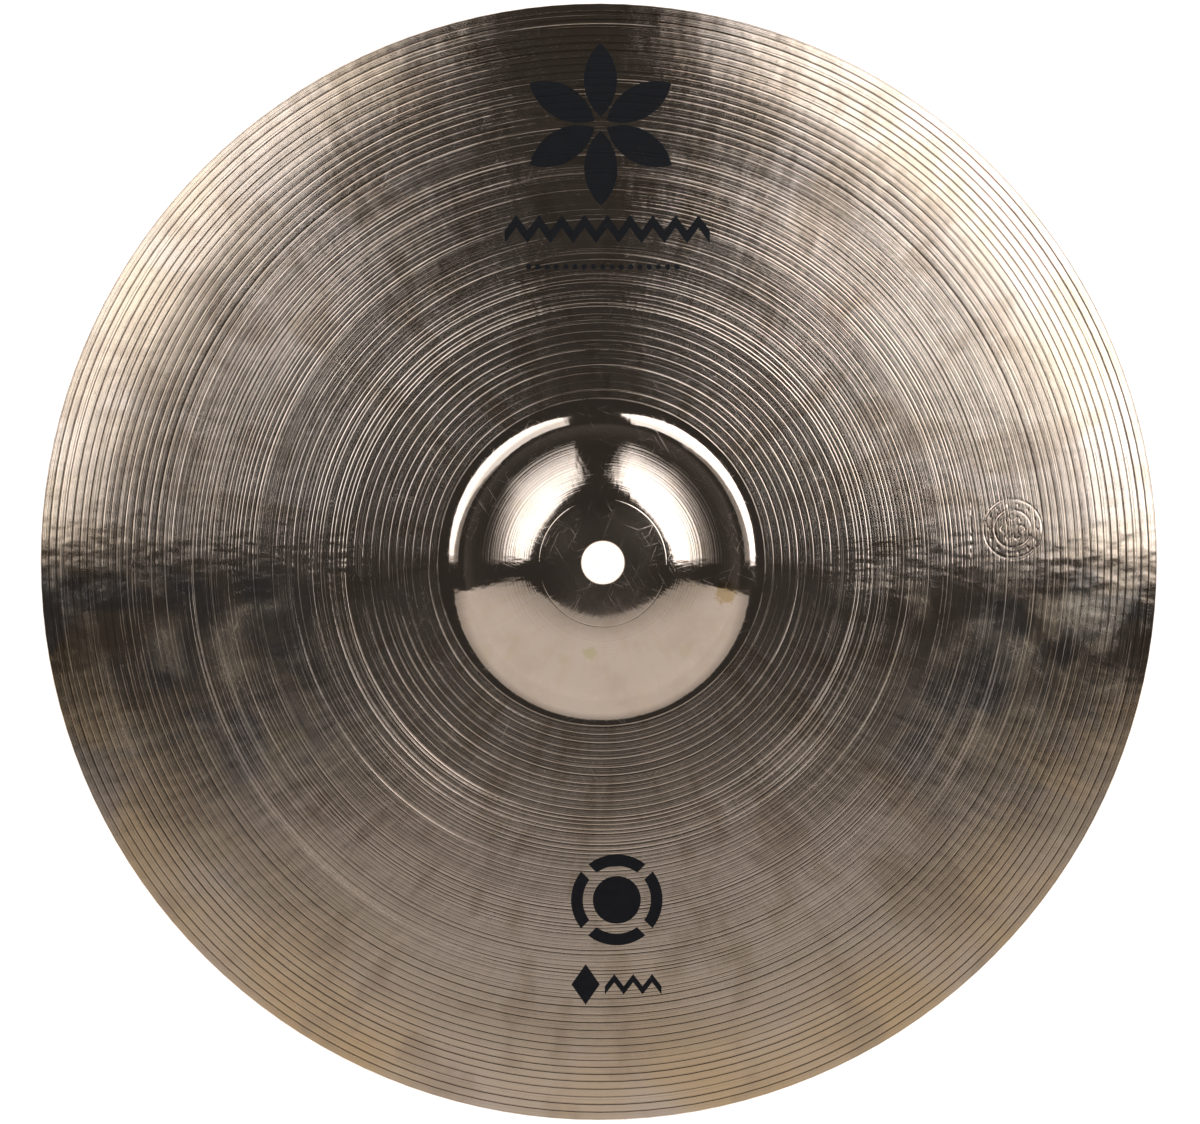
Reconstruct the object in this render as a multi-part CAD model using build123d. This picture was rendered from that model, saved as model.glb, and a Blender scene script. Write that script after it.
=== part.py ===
"""Crash cymbal, 14 inch: one cast and lathed bronze plate, with five ink prints on its top face.

Millimetres. +Z is up, along the cymbal's axis, with the bell on top. The cymbal lies on its rim
on the plane z = 0, and the origin is the centre of that plane, under the centre hole.
"""

from build123d import *
import math
import os

# Plate
DIAMETER = 355.6              # 14 inches over the rim
HOLE_DIAMETER = 13.4          # round hole for a half-inch stand rod and its sleeve
BOW_SPHERE_RADIUS = 900.0     # the bow's top face is a zone of one large sphere
BELL_THICKNESS = 1.1          # measured square to the metal, over the whole bell
EDGE_THICKNESS = 0.7          # the bow thins out to this at the rim

# Bell, from the hole outwards: a flat land, three domed arcs, then a hollow flare into the bow
LAND_RADIUS = 9.5
BELL_FOOT_ARM = 51.3          # where the flare would end if the bow were flat
CROWN_TILT = 11.0             # tilt of the metal, in degrees, where the crown ends
SHOULDER_TILT = 36.0          # and where the shoulder ends
FLANK_TILT = 42.0             # the steepest tilt, where the dome turns into the flare
SHOULDER_ARC = 45.0
FLANK_ARC = 59.0
FLARE_ARC = 12.0

# Ink prints: thin flat-topped films on the bow, set out on the plan view
INK_THICKNESS = 0.05
INK_PRISM_HEIGHT = 60.0       # taller than the plate, so that it cuts right through the film

ROSETTE_CENTRE = (0.0, 139.0)
ROSETTE_RADIUS = 26.0
ROSETTE_LEAVES = 6
LEAF_WIDTH = 10.5
LEAF_ROOT = 2.2               # gap between the rosette's centre and each leaf

BAND_CENTRE = (2.0, 105.5)
BAND_LENGTH = 65.0
BAND_HEIGHT = 9.0
BAND_STEPS = 18               # straight strokes in the zigzag
BAND_STROKE = 1.5

DOT_ROW_CENTRE = (0.5, 93.5)
DOT_ROW_LENGTH = 47.0
DOT_COUNT = 17
DOT_DIAMETER = 1.7

WHEEL_CENTRE = (5.0, -107.0)
WHEEL_OUTER_RADIUS = 14.5
WHEEL_INNER_RADIUS = 10.8
WHEEL_SPACES = 4
WHEEL_SPACE_WIDTH = 3.2
WHEEL_HUB_RADIUS = 7.6

FOOTER_CENTRE = (5.0, -134.0)
FOOTER_LOZENGE_SIZE = (9.0, 13.0)
FOOTER_BAND_LENGTH = 18.0
FOOTER_BAND_HEIGHT = 6.5
FOOTER_BAND_STEPS = 6
FOOTER_BAND_STROKE = 1.1
FOOTER_SPACE = 1.6            # between the lozenge and the zigzag


def sin(degrees):
    return math.sin(math.radians(degrees))


def cos(degrees):
    return math.cos(math.radians(degrees))


# Worked out from the dimensions above. The rim is a full round of half the edge thickness,
# and the bow's sphere is tangent to it and to the bell's flare.
OUTER_RADIUS = DIAMETER / 2
HOLE_RADIUS = HOLE_DIAMETER / 2
RIM_ROUND = EDGE_THICKNESS / 2
RIM_RADIUS = (OUTER_RADIUS - RIM_ROUND) / (1 - RIM_ROUND / BOW_SPHERE_RADIUS)
RIM_TILT = math.degrees(math.asin(RIM_RADIUS / BOW_SPHERE_RADIUS))
RIM_HEIGHT = RIM_ROUND + RIM_ROUND * cos(RIM_TILT)
BOW_CENTRE_HEIGHT = RIM_HEIGHT - BOW_SPHERE_RADIUS * cos(RIM_TILT)
FOOT_RADIUS = BELL_FOOT_ARM / (1 + FLARE_ARC / BOW_SPHERE_RADIUS)
FOOT_TILT = math.degrees(math.asin(FOOT_RADIUS / BOW_SPHERE_RADIUS))
FOOT_HEIGHT = BOW_CENTRE_HEIGHT + BOW_SPHERE_RADIUS * cos(FOOT_TILT)
SHOULDER_SPAN = SHOULDER_ARC * (sin(SHOULDER_TILT) - sin(CROWN_TILT))
FLANK_SPAN = FLANK_ARC * (sin(FLANK_TILT) - sin(SHOULDER_TILT))
FLARE_SPAN = FLARE_ARC * (sin(FLANK_TILT) - sin(FOOT_TILT))
CROWN_SPAN = FOOT_RADIUS - LAND_RADIUS - SHOULDER_SPAN - FLANK_SPAN - FLARE_SPAN
CROWN_ARC = CROWN_SPAN / sin(CROWN_TILT)


def bell_arcs():
    """The bell's arcs from the land outwards: radius (hollow when negative), first and last tilt."""
    return [
        (CROWN_ARC, 0.0, CROWN_TILT),
        (SHOULDER_ARC, CROWN_TILT, SHOULDER_TILT),
        (FLANK_ARC, SHOULDER_TILT, FLANK_TILT),
        (-FLARE_ARC, FLANK_TILT, FOOT_TILT),
    ]


def step(arc, first, last):
    """How far out and down one arc of the bell goes between two tilts."""
    return arc * (sin(last) - sin(first)), arc * (cos(last) - cos(first))


LAND_HEIGHT = FOOT_HEIGHT - sum(step(*arc)[1] for arc in bell_arcs())


def bell_line(inset):
    """The bell's profile from the hole out to its foot, inset into the metal by a distance."""
    at = (LAND_RADIUS, LAND_HEIGHT - inset)
    edges = [Line((HOLE_RADIUS, at[1]), at)]
    for arc, first, last in bell_arcs():
        middle = (first + last) / 2
        out, drop = step(arc - inset, first, middle)
        via = (at[0] + out, at[1] + drop)
        out, drop = step(arc - inset, first, last)
        end = (at[0] + out, at[1] + drop)
        edges.append(ThreePointArc(at, via, end))
        at = end
    return edges, at


def make_plate():
    """The whole cymbal body: bell, bow and edge are one piece of metal, turned round the axis."""
    top_bell, top_foot = bell_line(0.0)
    under_bell, under_foot = bell_line(BELL_THICKNESS)
    rim_centre = (OUTER_RADIUS - RIM_ROUND, RIM_ROUND)
    rim_top = (RIM_RADIUS, RIM_HEIGHT)
    rim_under = (2 * rim_centre[0] - rim_top[0], 2 * rim_centre[1] - rim_top[1])
    rim_side = (rim_centre[0] + RIM_ROUND * cos(RIM_TILT), rim_centre[1] - RIM_ROUND * sin(RIM_TILT))
    bow_tilt = (FOOT_TILT + RIM_TILT) / 2
    bow_via = (
        BOW_SPHERE_RADIUS * sin(bow_tilt),
        BOW_CENTRE_HEIGHT + BOW_SPHERE_RADIUS * cos(bow_tilt),
    )
    top_bow = ThreePointArc(top_foot, bow_via, rim_top)
    rim = ThreePointArc(rim_top, rim_side, rim_under)
    under_bow = TangentArc(under_foot, rim_under, tangent=(cos(FOOT_TILT), -sin(FOOT_TILT)))
    hole_wall = Line((HOLE_RADIUS, LAND_HEIGHT), (HOLE_RADIUS, LAND_HEIGHT - BELL_THICKNESS))
    section = make_face(Wire([*top_bell, top_bow, rim, under_bow, *under_bell, hole_wall]).edges())
    return revolve(Plane.XZ * section, axis=Axis.Z)


def ink_film(outline):
    """A film of ink of even thickness on the bow, with the given outline in plan."""
    centre = Pos(0, 0, BOW_CENTRE_HEIGHT)
    column = extrude(outline, amount=INK_PRISM_HEIGHT)
    film = column & (centre * Sphere(BOW_SPHERE_RADIUS + INK_THICKNESS))
    return film - centre * Sphere(BOW_SPHERE_RADIUS)


def lozenge(width, height):
    """An upright diamond, centred."""
    return Polygon((width / 2, 0), (0, height / 2), (-width / 2, 0), (0, -height / 2), align=None)


def zigzag(length, height, steps, stroke):
    """A zigzag band of straight strokes, centred, going up and down between two lines."""
    pitch = length / steps
    half_cut = stroke * math.hypot(pitch, height) / pitch / 2
    peak = height / 2 - half_cut
    line = [(-length / 2 + i * pitch, peak if i % 2 else -peak) for i in range(steps + 1)]
    lower = [(x, y - half_cut) for x, y in line]
    upper = [(x, y + half_cut) for x, y in reversed(line)]
    return Polygon(*lower, *upper, align=None)


def rosette_outline():
    """Six pointed leaves round a centre, each the overlap of two equal circles."""
    length = ROSETTE_RADIUS - LEAF_ROOT
    radius = (length**2 + LEAF_WIDTH**2) / (4 * LEAF_WIDTH)
    offset = radius - LEAF_WIDTH / 2
    middle = LEAF_ROOT + length / 2
    leaf = Pos(middle, offset) * Circle(radius) & Pos(middle, -offset) * Circle(radius)
    leaves = [Rot(0, 0, 90 + 360 / ROSETTE_LEAVES * i) * leaf for i in range(ROSETTE_LEAVES)]
    return Pos(*ROSETTE_CENTRE) * Sketch(children=leaves)


def band_outline():
    """The zigzag band under the rosette."""
    return Pos(*BAND_CENTRE) * zigzag(BAND_LENGTH, BAND_HEIGHT, BAND_STEPS, BAND_STROKE)


def dot_row_outline():
    """A row of round dots under the zigzag band."""
    first = DOT_ROW_CENTRE[0] - DOT_ROW_LENGTH / 2
    pitch = DOT_ROW_LENGTH / (DOT_COUNT - 1)
    dots = [Pos(first + pitch * i, DOT_ROW_CENTRE[1]) * Circle(DOT_DIAMETER / 2) for i in range(DOT_COUNT)]
    return Sketch(children=dots)


def wheel_outline():
    """A ring cut into equal arcs by spaces, round a solid disc."""
    ring = Circle(WHEEL_OUTER_RADIUS) - Circle(WHEEL_INNER_RADIUS)
    for i in range(WHEEL_SPACES // 2):
        ring -= Rot(0, 0, 45 + 90 * i) * Rectangle(3 * WHEEL_OUTER_RADIUS, WHEEL_SPACE_WIDTH)
    return Pos(*WHEEL_CENTRE) * (ring + Circle(WHEEL_HUB_RADIUS))


def footer_outline():
    """A solid lozenge with a short zigzag beside it."""
    width = FOOTER_LOZENGE_SIZE[0]
    full = width + FOOTER_SPACE + FOOTER_BAND_LENGTH
    mark = Pos(width / 2 - full / 2, 0) * lozenge(*FOOTER_LOZENGE_SIZE)
    band = zigzag(FOOTER_BAND_LENGTH, FOOTER_BAND_HEIGHT, FOOTER_BAND_STEPS, FOOTER_BAND_STROKE)
    return Pos(*FOOTER_CENTRE) * (mark + Pos(full / 2 - FOOTER_BAND_LENGTH / 2, 0) * band)


def main():
    nodes = {
        "cymbal_plate": make_plate(),
        "upper_rosette_print": ink_film(rosette_outline()),
        "upper_band_print": ink_film(band_outline()),
        "upper_dot_row_print": ink_film(dot_row_outline()),
        "lower_wheel_print": ink_film(wheel_outline()),
        "lower_footer_print": ink_film(footer_outline()),
    }
    os.makedirs("parts", exist_ok=True)
    for name, solid in nodes.items():
        export_step(solid, f"parts/{name}.step")
    print(f"land top z {LAND_HEIGHT:.3f}, foot r {FOOT_RADIUS:.3f} z {FOOT_HEIGHT:.3f}")
    print(f"crown arc {CROWN_ARC:.2f}, crown ends at r {LAND_RADIUS + CROWN_SPAN:.2f}")
    print(f"rim tilt {RIM_TILT:.2f}, foot tilt {FOOT_TILT:.2f}, bow centre z {BOW_CENTRE_HEIGHT:.3f}")


main()
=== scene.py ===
"""Crash cymbal: the visible model, its finish and the studio round it.

The profile repeats the CAD's driving dimensions, in millimetres, and everything is scaled to
metres as it is made. The plate is one mesh with its lathe grooves, hammer marks and pressed mark
in the geometry; the ink prints are thin films that follow the grooves under them.
"""

import math

import bpy
import numpy as np
from mathutils import Matrix, Vector, geometry


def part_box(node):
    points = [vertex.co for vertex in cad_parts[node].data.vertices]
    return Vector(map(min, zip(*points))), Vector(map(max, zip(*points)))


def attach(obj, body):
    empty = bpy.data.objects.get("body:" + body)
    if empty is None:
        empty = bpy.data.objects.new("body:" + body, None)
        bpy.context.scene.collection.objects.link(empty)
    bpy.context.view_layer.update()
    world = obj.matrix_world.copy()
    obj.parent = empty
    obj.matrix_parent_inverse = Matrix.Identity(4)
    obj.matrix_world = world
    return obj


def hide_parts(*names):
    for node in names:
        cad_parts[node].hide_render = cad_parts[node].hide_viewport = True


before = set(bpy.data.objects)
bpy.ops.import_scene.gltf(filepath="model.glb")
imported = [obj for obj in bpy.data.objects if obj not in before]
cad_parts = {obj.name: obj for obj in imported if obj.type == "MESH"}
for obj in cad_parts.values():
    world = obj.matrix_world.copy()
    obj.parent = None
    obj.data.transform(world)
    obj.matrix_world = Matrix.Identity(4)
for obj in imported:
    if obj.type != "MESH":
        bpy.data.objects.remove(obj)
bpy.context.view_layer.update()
MM = 0.001

# ---------------------------------------------------------------- the plate's profile, as in CAD
OUTER_RADIUS = 177.8
HOLE_RADIUS = 6.7
BOW_SPHERE_RADIUS = 900.0
BELL_THICKNESS = 1.1
EDGE_THICKNESS = 0.7
LAND_RADIUS = 9.5
BELL_FOOT_ARM = 51.3
CROWN_TILT = 11.0
SHOULDER_TILT = 36.0
FLANK_TILT = 42.0
SHOULDER_ARC = 45.0
FLANK_ARC = 59.0
FLARE_ARC = 12.0


def sin(degrees):
    return math.sin(math.radians(degrees))


def cos(degrees):
    return math.cos(math.radians(degrees))


RIM_ROUND = EDGE_THICKNESS / 2
RIM_RADIUS = (OUTER_RADIUS - RIM_ROUND) / (1 - RIM_ROUND / BOW_SPHERE_RADIUS)
RIM_TILT = math.degrees(math.asin(RIM_RADIUS / BOW_SPHERE_RADIUS))
RIM_HEIGHT = RIM_ROUND + RIM_ROUND * cos(RIM_TILT)
BOW_CENTRE_HEIGHT = RIM_HEIGHT - BOW_SPHERE_RADIUS * cos(RIM_TILT)
FOOT_RADIUS = BELL_FOOT_ARM / (1 + FLARE_ARC / BOW_SPHERE_RADIUS)
FOOT_TILT = math.degrees(math.asin(FOOT_RADIUS / BOW_SPHERE_RADIUS))
FOOT_HEIGHT = BOW_CENTRE_HEIGHT + BOW_SPHERE_RADIUS * cos(FOOT_TILT)


def bell_stations():
    """The bell's arcs from the land outwards: start radius, start height, arc radius, first tilt."""
    outer = [
        (SHOULDER_ARC, CROWN_TILT, SHOULDER_TILT),
        (FLANK_ARC, SHOULDER_TILT, FLANK_TILT),
        (-FLARE_ARC, FLANK_TILT, FOOT_TILT),
    ]
    crown_span = FOOT_RADIUS - LAND_RADIUS - sum(a * (sin(t) - sin(f)) for a, f, t in outer)
    arcs = [(crown_span / sin(CROWN_TILT), 0.0, CROWN_TILT)] + outer
    radius = LAND_RADIUS
    height = FOOT_HEIGHT - sum(a * (cos(t) - cos(f)) for a, f, t in arcs)
    stations = []
    for arc, first, last in arcs:
        stations.append((radius, height, arc, first))
        radius += arc * (sin(last) - sin(first))
        height += arc * (cos(last) - cos(first))
    return stations


STATIONS = bell_stations()
LAND_HEIGHT = STATIONS[0][1]


def profile(radius):
    """Height and tilt (radians) of the smooth top face at each radius of an array."""
    radius = np.asarray(radius, float)
    height = np.full(radius.shape, LAND_HEIGHT)
    slant = np.zeros(radius.shape)
    for start, base, arc, first in STATIONS:
        here = radius >= start
        part = np.clip(sin(first) + (radius[here] - start) / arc, -1, 1)
        slant[here] = part
        height[here] = base + arc * (np.sqrt(1 - part**2) - cos(first))
    bow = radius >= FOOT_RADIUS
    slant[bow] = radius[bow] / BOW_SPHERE_RADIUS
    height[bow] = BOW_CENTRE_HEIGHT + np.sqrt(BOW_SPHERE_RADIUS**2 - radius[bow] ** 2)
    return height, np.arcsin(slant)


def thickness(radius):
    """The metal's thickness: even over the bell, thinning out over the bow to the rim."""
    along = np.clip((np.asarray(radius) - FOOT_RADIUS) / (RIM_RADIUS - FOOT_RADIUS), 0, 1)
    return BELL_THICKNESS + along * (EDGE_THICKNESS - BELL_THICKNESS)


# ---------------------------------------------------------------- grooves, dents and the mark
LATHE_START = 51.4            # the polished bell ends here and the lathe lines begin
LATHE_END = 176.3
BELL_END = LATHE_START - 0.2  # the mirror finish ends just inside the first of them
CROWN_LINE = (20.1, 0.28, 0.022)  # one fine turned line round the crown: radius, half width, depth

# The lathe grooves lie in three zones: by the bell a deep groove and a faint one take turns, in the
# middle they are shallow, crowded and uneven, and by the rim they are wide, deep and even.
FIRST_GROOVE = LATHE_START + 0.5
INNER_ZONE_END = 80.0
INNER_PITCH = 2.62
INNER_HALF = (0.27, 0.35)
INNER_DEPTH = (0.048, 0.075)
FAINT_OFFSET = 1.3
FAINT_HALF = 0.18
FAINT_DEPTH = (0.002, 0.012)
MIDDLE_ZONE_END = 138.0
MIDDLE_PITCH = (0.95, 1.7)
MIDDLE_HALF = (0.20, 0.34)
MIDDLE_DEPTHS = (0.06, 0.12, 0.20, 0.30)  # against the half width
OUTER_PITCH = 2.4
OUTER_HALF = (0.32, 0.40)
OUTER_DEPTH = (0.060, 0.095)
PITCH_SPREAD = 0.2            # how far a groove may lie from its even place


def groove_list():
    """Radius, half width and depth of each lathe groove, from the bell out to the rim."""
    rng = np.random.default_rng(14)

    def stray():
        return rng.uniform(-PITCH_SPREAD, PITCH_SPREAD)

    grooves = [CROWN_LINE]
    at = FIRST_GROOVE
    while at < INNER_ZONE_END:
        grooves.append((at, rng.uniform(*INNER_HALF), rng.uniform(*INNER_DEPTH)))
        grooves.append((at + FAINT_OFFSET + stray(), FAINT_HALF, rng.uniform(*FAINT_DEPTH)))
        at += INNER_PITCH + stray()
    while at < MIDDLE_ZONE_END:
        half = rng.uniform(*MIDDLE_HALF)
        grooves.append((at, half, half * rng.choice(MIDDLE_DEPTHS)))
        at += rng.uniform(*MIDDLE_PITCH)
    while at < LATHE_END:
        grooves.append((at, rng.uniform(*OUTER_HALF), rng.uniform(*OUTER_DEPTH)))
        at += OUTER_PITCH + stray()
    return grooves


GROOVES = groove_list()
FINE_STEP = 0.01
FINE_RADII = np.arange(0, OUTER_RADIUS + 1, FINE_STEP)


def groove_table(section):
    """Depth of cut at every fine step of radius, for a section of unit width and depth."""
    depth = np.zeros(FINE_RADII.shape)
    for centre, half, deep in GROOVES:
        away = np.abs(FINE_RADII - centre) / half
        near = away < 1
        depth[near] = np.maximum(depth[near], deep * section(away[near]))
    return depth


# The cut as the mesh has it, flat at the bottom, and the rounded cut that its shading follows
MESHED_CUT = groove_table(lambda x: np.minimum(1 - x, 0.5))
ROUNDED_CUT = groove_table(lambda x: (1 + np.cos(math.pi * x)) / 2)


def smooth_step(share):
    return share * share * (3 - 2 * share)


def smooth_field(seed, radial_cells, turn_cells):
    """A smooth random function of radius (mm) and angle, between -1 and 1, that closes on itself."""
    values = np.random.default_rng(seed).uniform(-1, 1, (radial_cells + 2, turn_cells))

    def sample(radius, angle):
        row = np.clip(radius / OUTER_RADIUS, 0, 1) * radial_cells
        col = (angle / (2 * math.pi)) % 1 * turn_cells
        low_row = np.floor(row).astype(int)
        this_col = np.floor(col).astype(int)
        up = smooth_step(row - low_row)
        on = smooth_step(col - this_col)
        this_col = this_col % turn_cells
        next_col = (this_col + 1) % turn_cells
        low = values[low_row, this_col] * (1 - on) + values[low_row, next_col] * on
        high = values[low_row + 1, this_col] * (1 - on) + values[low_row + 1, next_col] * on
        return low * (1 - up) + high * up

    return sample


# Seed, cells outwards and cells round: how the lines stray, how deep they are cut, and the dents
wander = smooth_field(3, 40, 22)
fade = smooth_field(5, 60, 14)
dents_broad = smooth_field(7, 8, 30)
dents_small = smooth_field(9, 16, 46)

# The pressed mark on the right: two rings, a ring of dots, a flower and a column of short bars
MARK_CENTRE = (131.0, 10.5)
MARK_RINGS = ((9.4, 0.34), (6.0, 0.30))
MARK_DOTS = 14
MARK_DOT_CIRCLE = 7.7
MARK_DOT_RADIUS = 0.6
MARK_FLOWER_RADIUS = 3.0
MARK_FLOWER_HALF = 0.34
MARK_PETAL_ROOT = 0.55        # the flower's line, against its radius, between petals
MARK_PETAL_REACH = 0.75       # and how much further out it is at their tips
MARK_DEPTH = 0.055
MARK_BAR_OFFSET = -13.4
MARK_BAR_PITCH = 2.6
MARK_BAR_HALF = 0.7
MARK_BAR_STROKE = 0.36
MARK_BAR_SPAN = 9.0
MARK_REACH = MARK_RINGS[0][0] + 1.0


def soft_spot(distance, half):
    """1 at the middle of a line or dot, falling smoothly to 0 at its half width."""
    return np.where(distance < half, (1 + np.cos(math.pi * np.clip(distance / half, 0, 1))) / 2, 0)


def mark_depth(x, y):
    """Depth of the pressed mark at points of the plan."""
    x = x - MARK_CENTRE[0]
    y = y - MARK_CENTRE[1]
    out = np.hypot(x, y)
    depth = np.zeros(out.shape)
    for radius, half in MARK_RINGS:
        depth = np.maximum(depth, soft_spot(np.abs(out - radius), half))
    step = 2 * math.pi / MARK_DOTS
    turn = (np.arctan2(y, x) + step / 2) % step - step / 2
    dot = np.hypot(out * np.cos(turn) - MARK_DOT_CIRCLE, out * np.sin(turn))
    depth = np.maximum(depth, soft_spot(dot, MARK_DOT_RADIUS))
    petal = np.abs(np.cos(3 * np.arctan2(y, x)))
    flower = np.abs(out - MARK_FLOWER_RADIUS * (MARK_PETAL_ROOT + MARK_PETAL_REACH * petal))
    depth = np.maximum(depth, soft_spot(flower, MARK_FLOWER_HALF))
    along = (y + MARK_BAR_PITCH / 2) % MARK_BAR_PITCH - MARK_BAR_PITCH / 2
    bar = np.hypot(x - MARK_BAR_OFFSET, np.maximum(np.abs(along) - MARK_BAR_HALF, 0))
    bar = np.where(np.abs(y) < MARK_BAR_SPAN, bar, 1.0)
    return np.maximum(depth, soft_spot(bar, MARK_BAR_STROKE)) * MARK_DEPTH


STRAY = 0.09                  # how far the lathe lines stray from true circles
STRAY_START = 45.0
STRAY_FULL = 65.0
SWELL_HEIGHT = 0.28           # the bow swells a little inside the rim, and falls away faster from there
SWELL_START = 128.0
SWELL_TOP = 158.0
CUT_MEAN = 0.82               # how deep a groove is cut, and how much that changes along it
CUT_CHANGE = 0.28
CUT_UNDER_MARK = 0.35         # how much of a groove is left where the mark was pressed over it
BROAD_DENT = 0.100            # hammer dents, from the bell's foot outwards
SMALL_DENT = 0.030
DENT_START = 56.0
DENT_FULL = 86.0


def rising(radius, start, full):
    """0 up to one radius, rising evenly to 1 at the other."""
    return np.clip((radius - start) / (full - start), 0, 1)


def groove_shift(radius, angle):
    """How far the lathe lines are off true circles at each place."""
    return STRAY * wander(radius, angle) * rising(radius, STRAY_START, STRAY_FULL)


def swell(radius):
    """Height of the swell: a smooth rise to its top and a straight fall to the rim."""
    rise = smooth_step(rising(radius, SWELL_START, SWELL_TOP))
    return SWELL_HEIGHT * rise * rising(radius, RIM_RADIUS, SWELL_TOP)


def relief(radius, angle, table):
    """Height of the real surface over the smooth profile, along the normal, in millimetres."""
    cut = np.interp(radius - groove_shift(radius, angle), FINE_RADII, table)
    strength = CUT_MEAN + CUT_CHANGE * fade(radius, angle)
    dents = BROAD_DENT * dents_broad(radius, angle) + SMALL_DENT * dents_small(radius, angle)
    dents = dents * rising(radius, DENT_START, DENT_FULL)
    x, y = radius * np.cos(angle), radius * np.sin(angle)
    past_mark = np.hypot(x - MARK_CENTRE[0], y - MARK_CENTRE[1]) - MARK_RINGS[0][0]
    strength = strength * (CUT_UNDER_MARK + (1 - CUT_UNDER_MARK) * np.clip(past_mark, 0, 1))
    return swell(radius) + dents - cut * strength - mark_depth(x, y)


def surface(radius, angle, lift=0.0, table=MESHED_CUT):
    """Points of the real top face, lifted along the smooth normal, in millimetres."""
    height, tilt = profile(radius)
    off = relief(radius, angle, table) + lift
    out = radius + off * np.sin(tilt)
    up = height + off * np.cos(tilt)
    return np.stack([out * np.cos(angle), out * np.sin(angle), up], axis=-1)


NORMAL_STEP = 0.02            # the differences are taken this far out and in
NORMAL_REACH = 0.6            # and this far round both ways


def surface_normal(radius, angle):
    """Unit normals of the real top face, by differences on the rounded cut."""
    def at(some_radius, some_angle):
        return surface(some_radius, some_angle, table=ROUNDED_CUT)

    turn = NORMAL_REACH / radius
    outward = at(radius + NORMAL_STEP, angle) - at(radius - NORMAL_STEP, angle)
    around = at(radius, angle + turn) - at(radius, angle - turn)
    normal = np.cross(outward, around)
    return normal / np.linalg.norm(normal, axis=-1, keepdims=True)


# ---------------------------------------------------------------- meshes
SEGMENTS = 144
# The bell's rings: from, to and spacing, with room for the line round the crown
BELL_RINGS = (
    (HOLE_RADIUS + 0.3, LAND_RADIUS, 0.8),
    (LAND_RADIUS, CROWN_LINE[0] - 0.7, 1.1),
    (CROWN_LINE[0] + 0.7, 44.0, 0.9),
    (44.0, LATHE_START, 0.45),
)
LAST_RING = LATHE_END + 0.6
RING_GAP = 0.05               # rings of the top face lie further apart than this
MARK_MARGIN = 1.5             # the fine rings start this far inside the mark's bars
MARK_RING_GAP = 0.29          # over the mark the rings are no further apart than this
MARK_SPLITS = 18              # and each segment is divided into this many


def even_steps(first, last, step):
    """Evenly spaced radii from first up to, but not including, last."""
    count = max(1, round((last - first) / step))
    return list(np.linspace(first, last, count, endpoint=False))


def top_radii():
    """The rings of the top face: even on the bell, and four to each groove."""
    radii = [radius for rings in BELL_RINGS for radius in even_steps(*rings)]
    for centre, half, _ in GROOVES:
        radii += [centre - half, centre - half / 2, centre + half / 2, centre + half]
    radii += [LAST_RING, RIM_RADIUS]
    radii = sorted(radii)
    kept = [radii[0]]
    for radius in radii[1:]:
        if radius - kept[-1] > RING_GAP:
            kept.append(radius)
    return np.array(kept)


def mark_rows(radii):
    """The first and the last of the rings that cross the pressed mark."""
    centre = math.hypot(*MARK_CENTRE)
    inner = centre + MARK_BAR_OFFSET - MARK_MARGIN
    rows = np.where((radii > inner) & (radii < centre + MARK_REACH))[0]
    return rows[0], rows[-1]


def mark_segments():
    """The segments that cross the pressed mark."""
    reach = MARK_REACH / (math.hypot(*MARK_CENTRE) + MARK_BAR_OFFSET)
    middle = math.atan2(MARK_CENTRE[1], MARK_CENTRE[0])
    step = 2 * math.pi / SEGMENTS
    numbers = range(math.floor((middle - reach) / step), math.ceil((middle + reach) / step))
    return {number % SEGMENTS for number in numbers}


def fill_gaps(radii, first, last, widest):
    """Adds rings between two rows until no gap is wider than given."""
    filled = list(radii[:first])
    for low, high in zip(radii[first:last], radii[first + 1 : last + 1]):
        parts = math.ceil((high - low) / widest)
        filled += list(np.linspace(low, high, parts, endpoint=False))
    return np.array(filled + list(radii[last:]))


class RingMesh:
    """Collects rings of vertices, and the faces from each ring to the next."""

    def __init__(self):
        self.points = []
        self.normals = []
        self.rings = []
        self.faces = []
        self.finish = []
        self.count = 0

    def ring(self, finish, radius, points_of, normals_of, split=()):
        """Adds one ring, with the vertex numbers along each segment and the finish outside it."""
        step = 2 * math.pi / SEGMENTS
        angles = []
        starts = []
        for segment in range(SEGMENTS):
            starts.append(len(angles))
            parts = MARK_SPLITS if segment in split else 1
            angles += [step * (segment + k / parts) for k in range(parts)]
        angles = np.array(angles)
        radii = np.full(angles.shape, radius)
        self.points.append(points_of(radii, angles))
        self.normals.append(normals_of(radii, angles))
        total = len(angles)
        spans = zip(starts, starts[1:] + [total])
        numbers = [[self.count + k % total for k in range(a, b + 1)] for a, b in spans]
        self.rings.append((finish, numbers))
        self.count += total

    def join(self):
        """Adds all faces. Where only one ring is finely divided, the face takes all its points."""
        for (finish, inner), (_, outer) in zip(self.rings, self.rings[1:] + self.rings[:1]):
            for a, b in zip(inner, outer):
                if len(a) == len(b):
                    faces = [(a[k], b[k], b[k + 1], a[k + 1]) for k in range(len(a) - 1)]
                else:
                    faces = [tuple(b) + tuple(reversed(a))]
                self.faces += faces
                self.finish += [finish] * len(faces)


def on_top(radius, angle):
    """Points of a ring of the top face that strays as its lathe line does."""
    return surface(radius + groove_shift(radius, angle), angle)


def on_top_normal(radius, angle):
    return surface_normal(radius + groove_shift(radius, angle), angle)


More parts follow.
